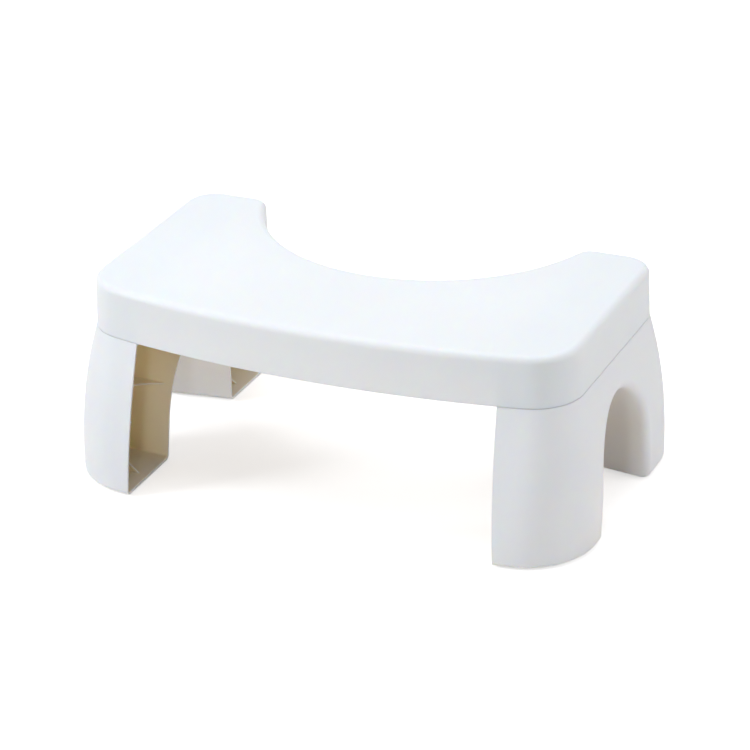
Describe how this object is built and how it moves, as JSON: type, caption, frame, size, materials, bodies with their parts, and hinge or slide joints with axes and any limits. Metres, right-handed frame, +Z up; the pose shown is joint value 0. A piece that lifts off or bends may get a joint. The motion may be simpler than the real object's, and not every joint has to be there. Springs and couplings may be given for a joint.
{
  "type": "toilet footstool",
  "caption": "Low white moulded footstool with a deep-edged step plate, a round bay in its back edge for a toilet pan, and hollow arched leg frames on soft pads.",
  "frame": {"origin": "on the floor, under the middle of the stool's box", "axes": "+X along the long side, to the right seen from the front; +Y towards the back edge with the bay; +Z up"},
  "size_m": [0.456, 0.2677, 0.175],
  "materials": {
    "plate_plastic": "fine satin moulded polypropylene, cool white",
    "leg_plastic": "fine satin moulded polypropylene, cool white",
    "pad_rubber": "soft pale grey thermoplastic rubber, matt"
  },
  "bodies": {
    "root": {"step_top": "plate_plastic", "leg_frame_left": "leg_plastic", "leg_frame_right": "leg_plastic", "pad_front_left": "pad_rubber", "pad_front_right": "pad_rubber", "pad_rear_left": "pad_rubber", "pad_rear_right": "pad_rubber"}
  },
  "joints": []
}
